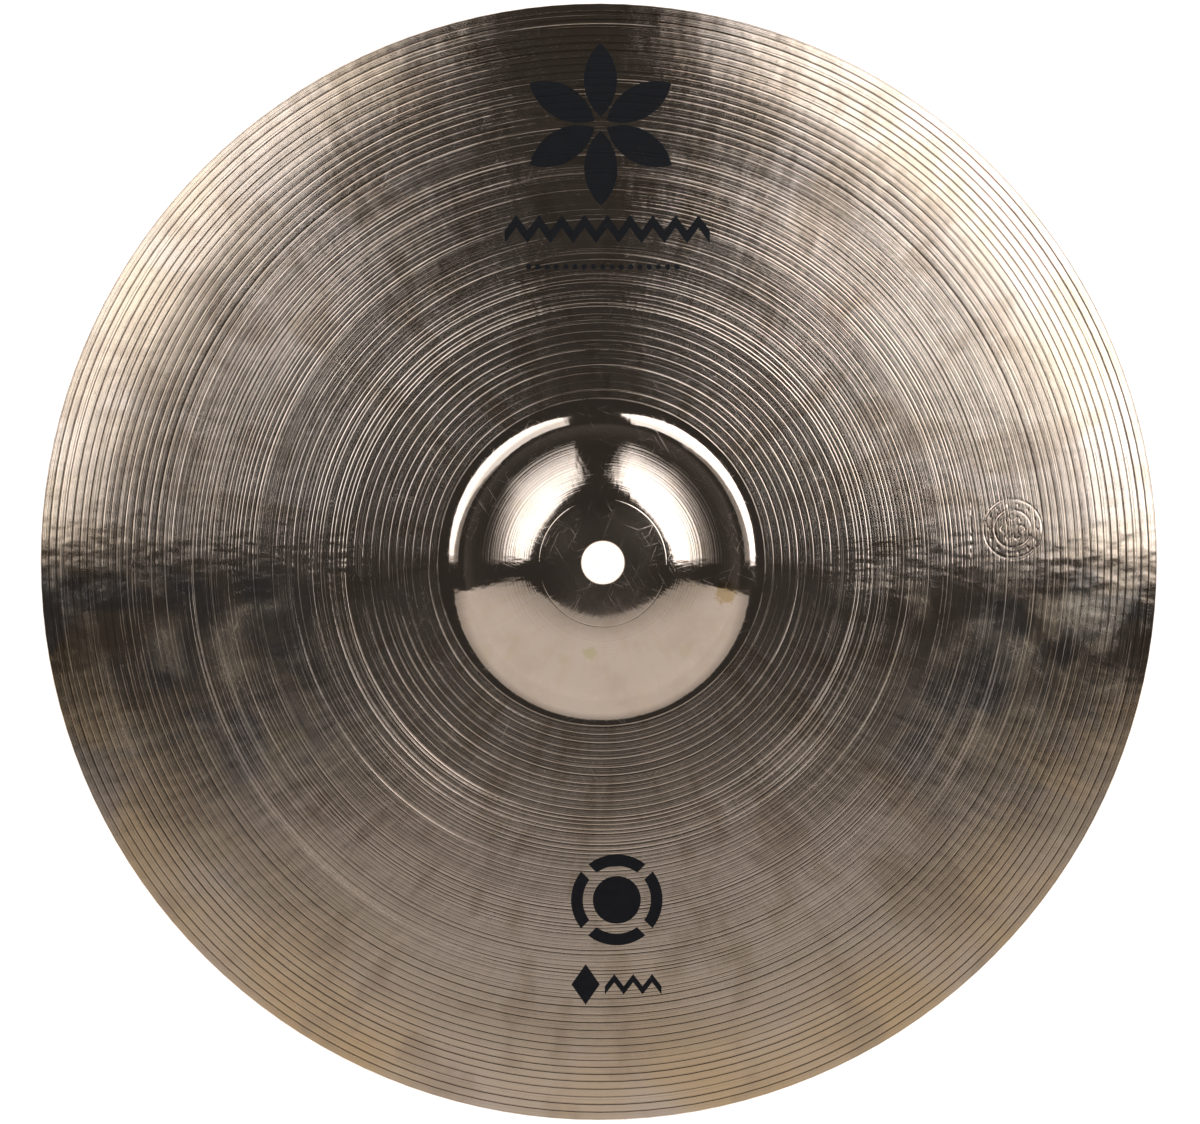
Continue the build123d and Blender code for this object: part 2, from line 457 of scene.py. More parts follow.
def turned(height, tilt):
    """Makers of the points and normals of a plain turned ring, its tilt in radians."""
    def points(radii, angles):
        return np.stack([radii * np.cos(angles), radii * np.sin(angles), np.full(radii.shape, height)], -1)

    def normals(radii, angles):
        out = np.full(radii.shape, math.sin(tilt))
        up = np.full(radii.shape, math.cos(tilt))
        return np.stack([out * np.cos(angles), out * np.sin(angles), up], -1)

    return points, normals


def add_top(mesh):
    """The top face, from the hole out to the rim, with finer faces over the pressed mark."""
    radii = top_radii()
    radii = fill_gaps(radii, *mark_rows(radii), MARK_RING_GAP)
    first, last = mark_rows(radii)
    split = mark_segments()
    for i, radius in enumerate(radii):
        finish = "bell" if radius < BELL_END else "bow"
        mesh.ring(finish, radius, on_top, on_top_normal, split if first <= i <= last else ())


def add_rim(mesh):
    """The rim's full round, with one ring at its widest."""
    for tilt in (RIM_TILT + 35, RIM_TILT + 70, 90, RIM_TILT + 120, RIM_TILT + 150, RIM_TILT + 180):
        out = OUTER_RADIUS - RIM_ROUND + RIM_ROUND * sin(tilt)
        mesh.ring("edge", out, *turned(RIM_ROUND + RIM_ROUND * cos(tilt), math.radians(tilt)))


UNDER_GROOVE_START = RIM_RADIUS - 1.0
UNDER_GROOVE_PITCH = 4.2
UNDER_GROOVE_DEPTH = 0.03
UNDER_BELL_RINGS = 26
# The rings of one groove of the underside: shift of the radius, share of the depth, lean of the wall
UNDER_GROOVE_RINGS = ((0.0, 0.0, 0), (-0.6, 0.5, -1), (-1.4, 0.5, 1))


def under_ring(radius):
    """Radius, height and tilt on the underside below a point of the top face."""
    height, tilt = profile(np.array([radius]))
    height, tilt = float(height[0]), float(tilt[0])
    thick = float(thickness(radius))
    return radius - thick * math.sin(tilt), height - thick * math.cos(tilt), tilt


def add_underside(mesh):
    """The underside, from the rim inwards, with shallow lathe lines on the bow."""
    wall = math.atan(math.pi * UNDER_GROOVE_DEPTH / 2)
    at = UNDER_GROOVE_START
    while at > LATHE_START:
        for shift, share, lean in UNDER_GROOVE_RINGS:
            out, height, tilt = under_ring(at + shift)
            out += UNDER_GROOVE_DEPTH * share * math.sin(tilt)
            height += UNDER_GROOVE_DEPTH * share * math.cos(tilt)
            mesh.ring("under", out, *turned(height, tilt + math.pi + lean * wall))
        at -= UNDER_GROOVE_PITCH
    for radius in np.linspace(LATHE_START - 0.4, LAND_RADIUS, UNDER_BELL_RINGS):
        out, height, tilt = under_ring(radius)
        mesh.ring("under", out, *turned(height, tilt + math.pi))


HOLE_BREAK = 0.2              # the hole's edges are broken by this much
HOLE_BREAK_MIDDLE = 0.06


def add_hole(mesh):
    """The hole's wall, with its edges broken, from the underside up."""
    low = LAND_HEIGHT - BELL_THICKNESS
    corners = (
        (HOLE_RADIUS + HOLE_BREAK + 0.1, low, 180),
        (HOLE_RADIUS + HOLE_BREAK, low, 180),
        (HOLE_RADIUS + HOLE_BREAK_MIDDLE, low + HOLE_BREAK_MIDDLE, 225),
        (HOLE_RADIUS, low + HOLE_BREAK, 270),
        (HOLE_RADIUS, LAND_HEIGHT - HOLE_BREAK, 270),
        (HOLE_RADIUS + HOLE_BREAK_MIDDLE, LAND_HEIGHT - HOLE_BREAK_MIDDLE, 315),
        (HOLE_RADIUS + HOLE_BREAK, LAND_HEIGHT, 360),
    )
    for out, height, tilt in corners:
        mesh.ring("edge", out, *turned(height, math.radians(tilt)))


def build_plate():
    """The whole plate as one closed mesh."""
    mesh = RingMesh()
    add_top(mesh)
    add_rim(mesh)
    add_underside(mesh)
    add_hole(mesh)
    mesh.join()
    return mesh


GROOVE_SHADE_DEPTH = 0.045         # a groove this deep at its flat gets the full painted shade


def groove_painted_shade(points):
    """How deep in a groove each vertex of the plate lies, from 0 to 1, for the painted shade in the grooves.
    """
    radius = np.hypot(points[:, 0], points[:, 1])
    angle = np.arctan2(points[:, 1], points[:, 0])
    cut = np.interp(radius - groove_shift(radius, angle), FINE_RADII, MESHED_CUT)
    return np.clip(cut / GROOVE_SHADE_DEPTH, 0, 1)


def mesh_object(name, points, faces, normals=None):
    """A Blender object from points in millimetres."""
    data = bpy.data.meshes.new(name)
    data.from_pydata((np.asarray(points) * MM).tolist(), [], faces)
    data.update()
    data.polygons.foreach_set("use_smooth", [True] * len(data.polygons))
    if normals is not None:
        data.normals_split_custom_set_from_vertices(normals.tolist())
    obj = bpy.data.objects.new(name, data)
    bpy.context.scene.collection.objects.link(obj)
    return obj


# ---------------------------------------------------------------- ink prints
INK_LIFT = 0.045              # the film's top over the metal
INK_SINK = 0.02               # and how far its underside keys into the metal
INK_GRID = 0.32               # spacing of the film's inner points


def bounds_of(node):
    """Plan centre, width and height of a CAD node, in millimetres."""
    low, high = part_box(node)
    low, high = low / MM, high / MM
    return (low.x + high.x) / 2, (low.y + high.y) / 2, high.x - low.x, high.y - low.y


def arc_points(centre, radius, first, last, step=0.5):
    """Points along an arc, angles in degrees."""
    count = max(3, math.ceil(abs(math.radians(last - first)) * radius / step))
    turns = [math.radians(first + (last - first) * k / count) for k in range(count + 1)]
    return [(centre[0] + radius * math.cos(t), centre[1] + radius * math.sin(t)) for t in turns]


def straight_points(corners, step=0.5):
    """Points along the sides of a polygon."""
    points = []
    for a, b in zip(corners, corners[1:] + corners[:1]):
        count = max(1, math.ceil(math.dist(a, b) / step))
        for k in range(count):
            points.append((a[0] + (b[0] - a[0]) * k / count, a[1] + (b[1] - a[1]) * k / count))
    return points


def contains(outline, x, y):
    """Whether a point is inside a closed outline, by crossings."""
    inside = False
    for (x0, y0), (x1, y1) in zip(outline, outline[1:] + outline[:1]):
        if (y0 > y) != (y1 > y) and x < (x1 - x0) * (y - y0) / (y1 - y0) + x0:
            inside = not inside
    return inside


def inner_points(outline):
    """A staggered grid of points inside an outline."""
    right = max(x for x, _ in outline)
    bottom = min(y for _, y in outline)
    top = max(y for _, y in outline)
    inside = []
    x = min(x for x, _ in outline) + INK_GRID / 2
    row = 0
    while x < right:
        y = bottom + INK_GRID * (0.25 + 0.5 * (row % 2))
        while y < top:
            if contains(outline, x, y):
                inside.append((x, y))
            y += INK_GRID
        x += INK_GRID
        row += 1
    return inside


def film(outline):
    """Points, faces and normals of one closed ink film inside an outline, draped over the grooves."""
    sides = [(i, (i + 1) % len(outline)) for i in range(len(outline))]
    points = [Vector(p) for p in outline + inner_points(outline)]
    verts, _, faces, _, _, _ = geometry.delaunay_2d_cdt(points, sides, [], 1, 1e-5)
    flat = np.array([[v.x, v.y] for v in verts])
    faces = [tuple(face) for face in faces]
    radius = np.hypot(flat[:, 0], flat[:, 1])
    angle = np.arctan2(flat[:, 1], flat[:, 0])
    over = surface(radius, angle, INK_LIFT)
    under = surface(radius, angle, -INK_SINK)
    normal = surface_normal(radius, angle)
    count = len(flat)
    solid = faces + [tuple(count + k for k in reversed(face)) for face in faces]
    edges = [edge for face in faces for edge in zip(face, face[1:] + face[:1])]
    known = set(edges)
    solid += [(b, a, count + a, count + b) for a, b in edges if (b, a) not in known]
    return np.concatenate([over, under]), solid, np.concatenate([normal, -normal])


def rosette_outlines(node):
    """Six pointed leaves, filling the CAD rosette's box."""
    x, y, _, height = bounds_of(node)
    root = 2.2
    length = height / 2 - root
    width = 10.5
    radius = (length**2 + width**2) / (4 * width)
    half = math.degrees(math.asin(length / 2 / radius))
    side = radius - width / 2
    middle = root + length / 2
    leaf = arc_points((middle, -side), radius, 90 - half, 90 + half)[:-1]
    leaf += arc_points((middle, side), radius, 270 - half, 270 + half)[:-1]
    outlines = []
    for i in range(6):
        across, up = cos(90 + 60 * i), sin(90 + 60 * i)
        outlines.append([(x + px * across - py * up, y + px * up + py * across) for px, py in leaf])
    return outlines


def zigzag_outline(x, y, length, height, steps, stroke):
    """A zigzag band as one polygon."""
    pitch = length / steps
    half_cut = stroke * math.hypot(pitch, height) / pitch / 2
    peak = height / 2 - half_cut
    line = [(x - length / 2 + i * pitch, y + (peak if i % 2 else -peak)) for i in range(steps + 1)]
    lower = [(px, py - half_cut) for px, py in line]
    upper = [(px, py + half_cut) for px, py in reversed(line)]
    return straight_points(lower + upper)


def band_outlines(node):
    """One zigzag across the CAD band's box."""
    x, y, width, height = bounds_of(node)
    return [zigzag_outline(x, y, width, height, 18, 1.5)]


DOTS = 17


def dot_outlines(node):
    """A row of round dots."""
    x, y, width, height = bounds_of(node)
    pitch = (width - height) / (DOTS - 1)
    first = x - width / 2 + height / 2
    return [arc_points((first + pitch * i, y), height / 2, 0, 360, 0.25)[:-1] for i in range(DOTS)]


def wheel_outlines(node):
    """A hub disc inside four arcs of a ring with parallel-sided spaces."""
    x, y, width, _ = bounds_of(node)
    outer = width / 2
    inner = 10.8
    hub = 7.6
    half_space = 1.6
    wide = 45 - math.degrees(math.asin(half_space / outer))
    narrow = 45 - math.degrees(math.asin(half_space / inner))
    outlines = [arc_points((x, y), hub, 0, 360)[:-1]]
    for middle in (0, 90, 180, 270):
        arc = arc_points((x, y), outer, middle - wide, middle + wide)
        arc += arc_points((x, y), inner, middle + narrow, middle - narrow)
        outlines.append(arc)
    return outlines


def footer_outlines(node):
    """A lozenge at the left end of the CAD footer's box, and a short zigzag at its right end."""
    x, y, width, height = bounds_of(node)
    left = x - width / 2
    half = 4.5
    lozenge = [(left, y), (left + half, y - height / 2), (left + 2 * half, y), (left + half, y + height / 2)]
    length = 18.0
    return [straight_points(lozenge), zigzag_outline(x + width / 2 - length / 2, y, length, 6.5, 6, 1.1)]


def build_print(node, outlines):
    """One print as a mesh object that stands for its CAD node."""
    points, faces, normals = [], [], []
    count = 0
    for outline in outlines:
        some, solid, lean = film(outline)
        points.append(some)
        normals.append(lean)
        faces += [tuple(count + k for k in face) for face in solid]
        count += len(some)
    obj = mesh_object(node + "_film", np.concatenate(points), faces, np.concatenate(normals))
    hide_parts(node)
    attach(obj, "root")
    return obj


# ---------------------------------------------------------------- materials
class Nodes:
    """A short way to add and link shader nodes."""

    def __init__(self, tree):
        self.tree = tree

    def add(self, kind, inputs=None, **settings):
        node = self.tree.nodes.new(kind)
        for key, value in settings.items():
            setattr(node, key, value)
        for key, value in (inputs or {}).items():
            socket = node.inputs[key]
            if isinstance(value, bpy.types.NodeSocket):
                self.tree.links.new(value, socket)
            else:
                socket.default_value = value
        return node

    def math(self, operation, a, b=0.0):
        return self.add("ShaderNodeMath", {0: a, 1: b}, operation=operation).outputs[0]

    def times(self, a, b):
        return self.math("MULTIPLY", a, b)

    def plus(self, a, b):
        return self.math("ADD", a, b)

    def minus(self, a, b):
        return self.math("SUBTRACT", a, b)

    def vector(self, operation, a, b=(0, 0, 0)):
        node = self.add("ShaderNodeVectorMath", {0: a, 1: b}, operation=operation)
        return node.outputs["Value" if operation in ("LENGTH", "DOT_PRODUCT") else "Vector"]

    def ramp(self, value, low, high, to_low=0.0, to_high=1.0, smooth=True):
        kind = "SMOOTHSTEP" if smooth else "LINEAR"
        given = {"Value": value, 1: low, 2: high, 3: to_low, 4: to_high}
        return self.add("ShaderNodeMapRange", given, interpolation_type=kind).outputs["Result"]

    def mix(self, factor, a, b):
        """A mix of two colours."""
        return self.add("ShaderNodeMix", {0: factor, 6: a, 7: b}, data_type="RGBA").outputs[2]

    def combine(self, x, y, z):
        return self.add("ShaderNodeCombineXYZ", {0: x, 1: y, 2: z}).outputs[0]

    def separate(self, vector):
        return self.add("ShaderNodeSeparateXYZ", {0: vector}).outputs

    def noise(self, where, scale, detail=2.0, roughness=0.5, distortion=0.0):
        given = {"Vector": where, "Scale": scale, "Detail": detail, "Roughness": roughness}
        given["Distortion"] = distortion
        return self.add("ShaderNodeTexNoise", given).outputs["Fac"]

    def lines(self, along, scale, detail=2.0, roughness=0.5):
        """Noise along one measure, such as rings when it is the distance from the axis."""
        given = {"W": along, "Scale": scale, "Detail": detail, "Roughness": roughness}
        return self.add("ShaderNodeTexNoise", given, noise_dimensions="1D").outputs["Fac"]


def new_material(name, metal=1.0):
    """A material with only a Principled shader on its output, metal unless told otherwise."""
    material = bpy.data.materials.new(name)
    material.use_nodes = True
    tree = material.node_tree
    tree.nodes.clear()
    nodes = Nodes(tree)
    shader = nodes.add("ShaderNodeBsdfPrincipled", {"Metallic": metal})
    output = nodes.add("ShaderNodeOutputMaterial")
    tree.links.new(shader.outputs[0], output.inputs[0])
    return material, nodes, shader


def rgb(red, green, blue):
    return (red, green, blue, 1.0)


BRONZE = rgb(0.86, 0.685, 0.555)
BRONZE_WARM = rgb(0.84, 0.63, 0.43)
BRONZE_BROWN = rgb(0.62, 0.46, 0.33)
BRONZE_STAIN = rgb(0.76, 0.60, 0.41)
BRONZE_BLUED = rgb(0.50, 0.45, 0.44)
# painted shade for the bottom of the grooves
PAINTED_GROOVE_SHADE = rgb(0.30, 0.20, 0.13)
# the rim's gold, laid on with painted light: stronger towards the lower half
BRONZE_GOLD_AND_PAINTED_LIGHT = rgb(0.86, 0.61, 0.37)

# Tarnish spots on the bell: place in plan and size, in millimetres, and colour
BELL_SPOTS = (
    ((39.0, -9.5), 5.5, rgb(0.62, 0.42, 0.20)),
    ((-4.0, -28.5), 3.2, rgb(0.72, 0.62, 0.38)),
)


def places(nodes):
    """Plan position and distance from the axis in millimetres, and the direction from the axis."""
    where = nodes.add("ShaderNodeTexCoord").outputs["Object"]
    plan = nodes.vector("MULTIPLY", where, (1000, 1000, 0))
    return plan, nodes.vector("LENGTH", plan), nodes.vector("NORMALIZE", plan)


def polar_noise(nodes, out, away, turns, per_mm, detail=2.0):
    """Noise set out by angle and distance from the axis, with no seam."""
    turning = nodes.vector("MULTIPLY", away, (turns, turns, 0))
    outward = nodes.combine(0.0, 0.0, nodes.times(out, per_mm))
    return nodes.noise(nodes.vector("ADD", turning, outward), 1.0, detail)


SCRATCH_DIRECTIONS = (18.0, 67.0, 121.0, 158.0)
SCRATCH_ALONG = 0.10          # noise cells for each millimetre along a scratch
SCRATCH_ACROSS = 2.4          # and across it


def hairlines(nodes, plan, seed):
    """Short fine scratches: noise drawn out along a few directions, of which only peaks are kept."""
    found = None
    for i, turn in enumerate(SCRATCH_DIRECTIONS):
        length_way = (SCRATCH_ALONG * cos(turn), SCRATCH_ALONG * sin(turn), 0)
        width_way = (-SCRATCH_ACROSS * sin(turn), SCRATCH_ACROSS * cos(turn), 0)
        along = nodes.vector("DOT_PRODUCT", plan, length_way)
        across = nodes.vector("DOT_PRODUCT", plan, width_way)
        drawn_out = nodes.combine(along, across, seed + 3.7 * i)
        line = nodes.ramp(nodes.noise(drawn_out, 1.0, 1.0, 0.4, 0.3), 0.66, 0.74)
        found = line if found is None else nodes.math("MAXIMUM", found, line)
    patch = nodes.ramp(nodes.noise(plan, 0.08, 2.0), 0.40, 0.62, 0.25, 1.0)
    return nodes.times(found, patch)


# Hands hold the plate low on its two sides: their marks fade in from the first of each to the second
HANDLED_DOWN = (4.0, -10.0)
HANDLED_UP = (-108.0, -45.0)
HANDLED_OUT = (60.0, 115.0)


def handled(nodes, plan):
    """Strength of the handling marks at each place of the plan."""
    x, y, _ = nodes.separate(plan)
    low = nodes.ramp(y, *HANDLED_DOWN)
    high = nodes.ramp(y, *HANDLED_UP)
    far = nodes.ramp(nodes.math("ABSOLUTE", x), *HANDLED_OUT)
    return nodes.times(nodes.times(low, high), far)


def brushed(nodes, shader, anisotropy):
    """Stretches the shine across the lathe lines, as fine turned grooves do."""
    shader.inputs["Anisotropic"].default_value = anisotropy
    shader.inputs["Anisotropic Rotation"].default_value = 0.25
    around = nodes.add("ShaderNodeTangent", direction_type="RADIAL", axis="Z")
    nodes.tree.links.new(around.outputs[0], shader.inputs["Tangent"])


def finish_with(nodes, shader, tint, rough, height, depth=MM):
    """Links colour, roughness and fine relief, in which a height of 1 is this depth in metres."""
    bump = nodes.add("ShaderNodeBump", {"Height": height, "Distance": depth, "Strength": 1.0})
    nodes.tree.links.new(tint, shader.inputs["Base Color"])
    nodes.tree.links.new(rough, shader.inputs["Roughness"])
    nodes.tree.links.new(bump.outputs[0], shader.inputs["Normal"])


def bow_height(nodes, out, away, marks):
    """Fine relief of the bow, in millimetres: turned lines, hammer dashes and scratches."""
    fine = nodes.times(nodes.lines(out, 2.6, 3.0, 0.6), 0.020)
    finer = nodes.times(nodes.lines(out, 9.0, 2.0, 0.5), 0.0035)
    dashes = nodes.times(polar_noise(nodes, out, away, 32.0, 0.11, 1.5), nodes.ramp(out, 62.0, 85.0))
    height = nodes.plus(nodes.plus(fine, finer), nodes.times(dashes, 0.085))
    return nodes.minus(height, nodes.times(marks, 0.003))


def bow_tint(nodes, plan, out, away, hands, haze, thread):
    """Colour of the bow: warm streaks, a golden rim with painted light that makes it golder on the lower
    half, brown tarnish, marks left by hands, and painted shade in the grooves.
    """
    rim = nodes.ramp(out, 120.0, 176.0)
    streak = nodes.ramp(polar_noise(nodes, out, away, 6.0, 0.022, 3.0), 0.42, 0.62)
    streak = nodes.times(streak, nodes.ramp(rim, 0.0, 1.0, 0.15, 0.5))
    tint = nodes.mix(streak, BRONZE, BRONZE_WARM)
    gold_and_painted_light = nodes.ramp(nodes.noise(plan, 0.014, 3.0, 0.5), 0.36, 0.58)
    # painted light: the rim's gold is stronger towards the lower half and fainter on the upper half, so the
    # upper rim's highlights come out whiter
    gold_and_painted_light = nodes.times(gold_and_painted_light, nodes.ramp(nodes.separate(plan)[1], 30.0, -100.0, 0.25, 1.0))
    tint = nodes.mix(nodes.times(rim, gold_and_painted_light), tint, BRONZE_GOLD_AND_PAINTED_LIGHT)
    brown = nodes.ramp(polar_noise(nodes, out, away, 9.0, 0.045, 4.0), 0.48, 0.66)
    tint = nodes.mix(nodes.times(brown, 0.62), tint, BRONZE_BROWN)
    blued = nodes.times(hands, nodes.ramp(nodes.noise(plan, 0.030, 3.0, 0.55, 0.6), 0.56, 0.42))
    tint = nodes.mix(nodes.times(blued, 0.75), tint, BRONZE_BLUED)
    tint = nodes.mix(nodes.times(haze, 0.6), tint, BRONZE_STAIN)
    # painted shade: the metal is darkened towards brown at the bottom of the grooves, more so towards the
    # rim
    darkening = nodes.add("ShaderNodeAttribute", attribute_name="groove_painted_shade").outputs["Fac"]
    darkening = nodes.times(darkening, nodes.ramp(out, 90.0, 150.0, 0.10, 0.62))
    tint = nodes.mix(darkening, tint, PAINTED_GROOVE_SHADE)
    return nodes.mix(nodes.times(thread, 0.45), tint, BRONZE_BROWN)


def bow_material():
    """Lathed and buffed bronze: fine turned lines, hammer dashes, tarnish, handling marks, painted shade in
    the grooves and painted light on the rim's lower half.
    """
    material, nodes, shader = new_material("bronze_lathed")
    plan, out, away = places(nodes)
    hands = handled(nodes, plan)
    haze = nodes.ramp(nodes.noise(plan, 0.042, 4.0, 0.6, 0.4), 0.42, 0.68)
    haze = nodes.times(haze, hands)
    scratch = nodes.times(hairlines(nodes, plan, 3.0), 0.35)
    scuff = nodes.times(nodes.times(hairlines(nodes, plan, 41.0), hands), 0.28)
    marks = nodes.math("MAXIMUM", scratch, scuff)
    # dull threads: narrow rings that were not buffed bright
    thread = nodes.ramp(nodes.lines(out, 1.9, 3.0, 0.75), 0.56, 0.72)
    broken = nodes.ramp(polar_noise(nodes, out, away, 5.0, 0.6, 2.0), 0.32, 0.56)
    thread = nodes.times(thread, broken)
    rough = nodes.ramp(nodes.lines(out, 3.4, 2.0, 0.6), 0.3, 0.7, 0.095, 0.145)
    rough = nodes.plus(rough, nodes.times(thread, 0.22))
    rough = nodes.plus(rough, nodes.times(haze, 0.12))
    rough = nodes.plus(rough, nodes.times(marks, 0.20))
    stretch = nodes.times(nodes.minus(1.0, thread), 0.96)
    stretch = nodes.times(stretch, nodes.ramp(haze, 0.0, 1.0, 1.0, 0.5, smooth=False))
    brushed(nodes, shader, 0.96)
    nodes.tree.links.new(stretch, shader.inputs["Anisotropic"])
    tint = bow_tint(nodes, plan, out, away, hands, haze, thread)
    finish_with(nodes, shader, tint, rough, bow_height(nodes, out, away, marks))
    return material


def spot(nodes, plan, centre, size):
    """A ragged spot: 1 in its middle, breaking up towards its edge."""
    distance = nodes.vector("LENGTH", nodes.vector("SUBTRACT", plan, (centre[0], centre[1], 0)))
    ragged = nodes.times(nodes.noise(plan, 0.55, 3.0, 0.6), size)
    return nodes.ramp(nodes.plus(distance, ragged), 1.3 * size, 0.9 * size)


def bell_height(nodes, out, away, scratch):
    """Fine relief of the bell, in millimetres: turned lines, a ripple below the crown, and hairlines."""
    wide_lines = nodes.times(nodes.lines(out, 1.1, 3.0, 0.6), 0.004)
    fine_lines = nodes.times(nodes.lines(out, 4.5, 2.0, 0.5), 0.0007)
    below_crown = nodes.times(nodes.ramp(out, 20.0, 30.0), nodes.ramp(out, 43.0, 36.0))
    ripple = nodes.times(nodes.lines(out, 1.7, 3.0, 0.6), below_crown)
    hair = polar_noise(nodes, out, away, 17.0, 0.30, 1.0)
    height = nodes.plus(nodes.plus(wide_lines, fine_lines), nodes.times(ripple, 0.058))
    height = nodes.plus(height, nodes.times(hair, 0.024))
    return nodes.minus(height, nodes.times(scratch, 0.0015))


def bell_material():
    """Mirror-bright bell: faint turned lines and hairlines, duller on the crown, with a few stains."""
    material, nodes, shader = new_material("bronze_polished")
    plan, out, away = places(nodes)
    scratch = hairlines(nodes, plan, 7.0)
    rough = nodes.ramp(nodes.noise(plan, 0.06, 3.0), 0.35, 0.7, 0.05, 0.08)
    rough = nodes.plus(rough, nodes.times(scratch, 0.14))
    rough = nodes.plus(rough, nodes.ramp(out, 21.0, 12.0, 0.0, 0.09))
    cloud = nodes.ramp(nodes.noise(plan, 0.05, 4.0, 0.6), 0.40, 0.66)
    tint = nodes.mix(nodes.times(cloud, 0.30), BRONZE, BRONZE_BROWN)
    streak = nodes.ramp(polar_noise(nodes, out, away, 12.0, 0.05, 2.0), 0.45, 0.70)
    tint = nodes.mix(nodes.times(streak, 0.22), tint, BRONZE_WARM)
    stain = nodes.ramp(nodes.noise(plan, 0.09, 2.0, 0.5, 0.5), 0.62, 0.72)
    tint = nodes.mix(nodes.times(stain, 0.35), tint, BRONZE_STAIN)
    for centre, size, colour in BELL_SPOTS:
        tint = nodes.mix(nodes.times(spot(nodes, plan, centre, size), 0.8), tint, colour)
    brushed(nodes, shader, 0.6)
    finish_with(nodes, shader, tint, rough, bell_height(nodes, out, away, scratch))
    return material


def edge_material():
    """Turned rim and the hole's wall: bare warm metal with fine cutter marks."""
    material, nodes, shader = new_material("bronze_edge")
    _, out, away = places(nodes)
    marks = polar_noise(nodes, out, away, 160.0, 3.0, 2.0)
    tint = nodes.mix(nodes.ramp(marks, 0.3, 0.7), BRONZE_WARM, BRONZE)
    rough = nodes.ramp(marks, 0.2, 0.8, 0.2, 0.34)
    finish_with(nodes, shader, tint, rough, marks, 0.012 * MM)
    return material


def under_material():
    """The underside: the same metal, buffed less, with broad tarnish."""
    material, nodes, shader = new_material("bronze_underside")
    plan, out, away = places(nodes)
    fine = nodes.times(nodes.lines(out, 2.2, 3.0, 0.6), 0.012)
    dashes = nodes.times(polar_noise(nodes, out, away, 16.0, 0.12, 1.0), 0.05)
    darkening = nodes.ramp(nodes.noise(plan, 0.03, 4.0, 0.6, 0.4), 0.4, 0.75)
    tint = nodes.mix(nodes.times(darkening, 0.6), BRONZE_WARM, BRONZE_STAIN)
    rough = nodes.ramp(darkening, 0.0, 1.0, 0.24, 0.36)
    brushed(nodes, shader, 0.85)
    finish_with(nodes, shader, tint, rough, nodes.plus(fine, dashes))
    return material


def ink_material():
    """Screen-printed black, slightly uneven, with small worn specks."""
    material, nodes, shader = new_material("ink_black", metal=0.0)
    plan, _, _ = places(nodes)
    speck = nodes.ramp(nodes.noise(plan, 1.6, 3.0, 0.7), 0.66, 0.72)
    worn = nodes.times(nodes.ramp(nodes.noise(plan, 0.09, 2.0), 0.52, 0.66), speck)
    cloud = nodes.noise(plan, 0.35, 3.0, 0.6)
    black = nodes.mix(cloud, rgb(0.003, 0.003, 0.004), rgb(0.010, 0.009, 0.011))
    tint = nodes.mix(worn, black, rgb(0.20, 0.17, 0.15))
    shader.inputs["Specular IOR Level"].default_value = 0.2
    finish_with(nodes, shader, tint, nodes.ramp(cloud, 0.3, 0.7, 0.42, 0.55), speck, 0.006 * MM)
    return material


def floor_material():
    """A plain pale studio floor that glows a little, as a lit sweep does."""
    material, _, shader = new_material("studio_floor", metal=0.0)
    shader.inputs["Base Color"].default_value = rgb(0.5, 0.5, 0.5)
    shader.inputs["Roughness"].default_value = 0.9
    shader.inputs["Specular IOR Level"].default_value = 0.1
    shader.inputs["Emission Color"].default_value = rgb(1, 1, 1)
    shader.inputs["Emission Strength"].default_value = 0.85
    return material


# ---------------------------------------------------------------- the studio
# Directions are given as (u, v): how far along +X and +Y a line to the light goes for each unit up.
LEFT_BOX = [(-0.56, 0.02), (-0.30, 0.36), (-0.17, 0.85), (-0.5, 2.4), (-1.55, 1.55), (-0.95, 0.02)]
RIGHT_BOX = [(0.56, 0.0), (1.0, 0.0), (1.05, 1.3), (0.62, 2.4), (0.16, 0.85), (0.265, 0.42)]
LEFT_SPILL = [(-0.9, 0.0), (-0.9, 1.0), (-1.9, 1.9), (-1.6, 0.0)]
RIGHT_SPILL = [(0.9, 0.0), (1.9, 0.0), (1.5, 2.0), (0.9, 1.3)]
LEFT_GLOW = 2.1
RIGHT_GLOW = 2.95
SPILL_GLOW = 0.5
BOX_SOFTNESS = 0.03           # half the width of the boxes' soft edges
BOX_FADE = (0.6, 1.4, 0.45)   # the boxes dim from the first slope to the second, down to the third
BOX_COLOUR = rgb(0.93, 1.0, 1.09)
TABLE_SPREAD = 4.7            # how wide the pale table is, against how far it lies in front
TABLE_REACH = 3.7             # and how high up it is still seen
TABLE_FLARE = 0.55            # how much higher at its two sides
TABLE_GLOW = 0.52
TABLE_NEAR = 0.6              # how bright the table's near edge is, against its middle
ROOM_GLOW = 0.030
WALL_GLOW = 0.055             # dim walls all round, low down
BACKDROP_GLOW = 1.0           # what the camera sees behind the floor


def polygon_mask(nodes, along, corners, softness):
    """1 inside a convex polygon of directions, clockwise or not, fading over a soft edge."""
    area = sum(a[0] * b[1] - b[0] * a[1] for a, b in zip(corners, corners[1:] + corners[:1]))
    if area < 0:
        corners = corners[::-1]
    mask = None
    for (x0, y0), (x1, y1) in zip(corners, corners[1:] + corners[:1]):
        length = math.hypot(x1 - x0, y1 - y0)
        across = ((y0 - y1) / length, (x1 - x0) / length)
        offset = -(across[0] * x0 + across[1] * y0)
        side = nodes.vector("DOT_PRODUCT", along, (across[0], across[1], offset))
        inside = nodes.ramp(side, -softness, softness)
        mask = inside if mask is None else nodes.times(mask, inside)
    return mask


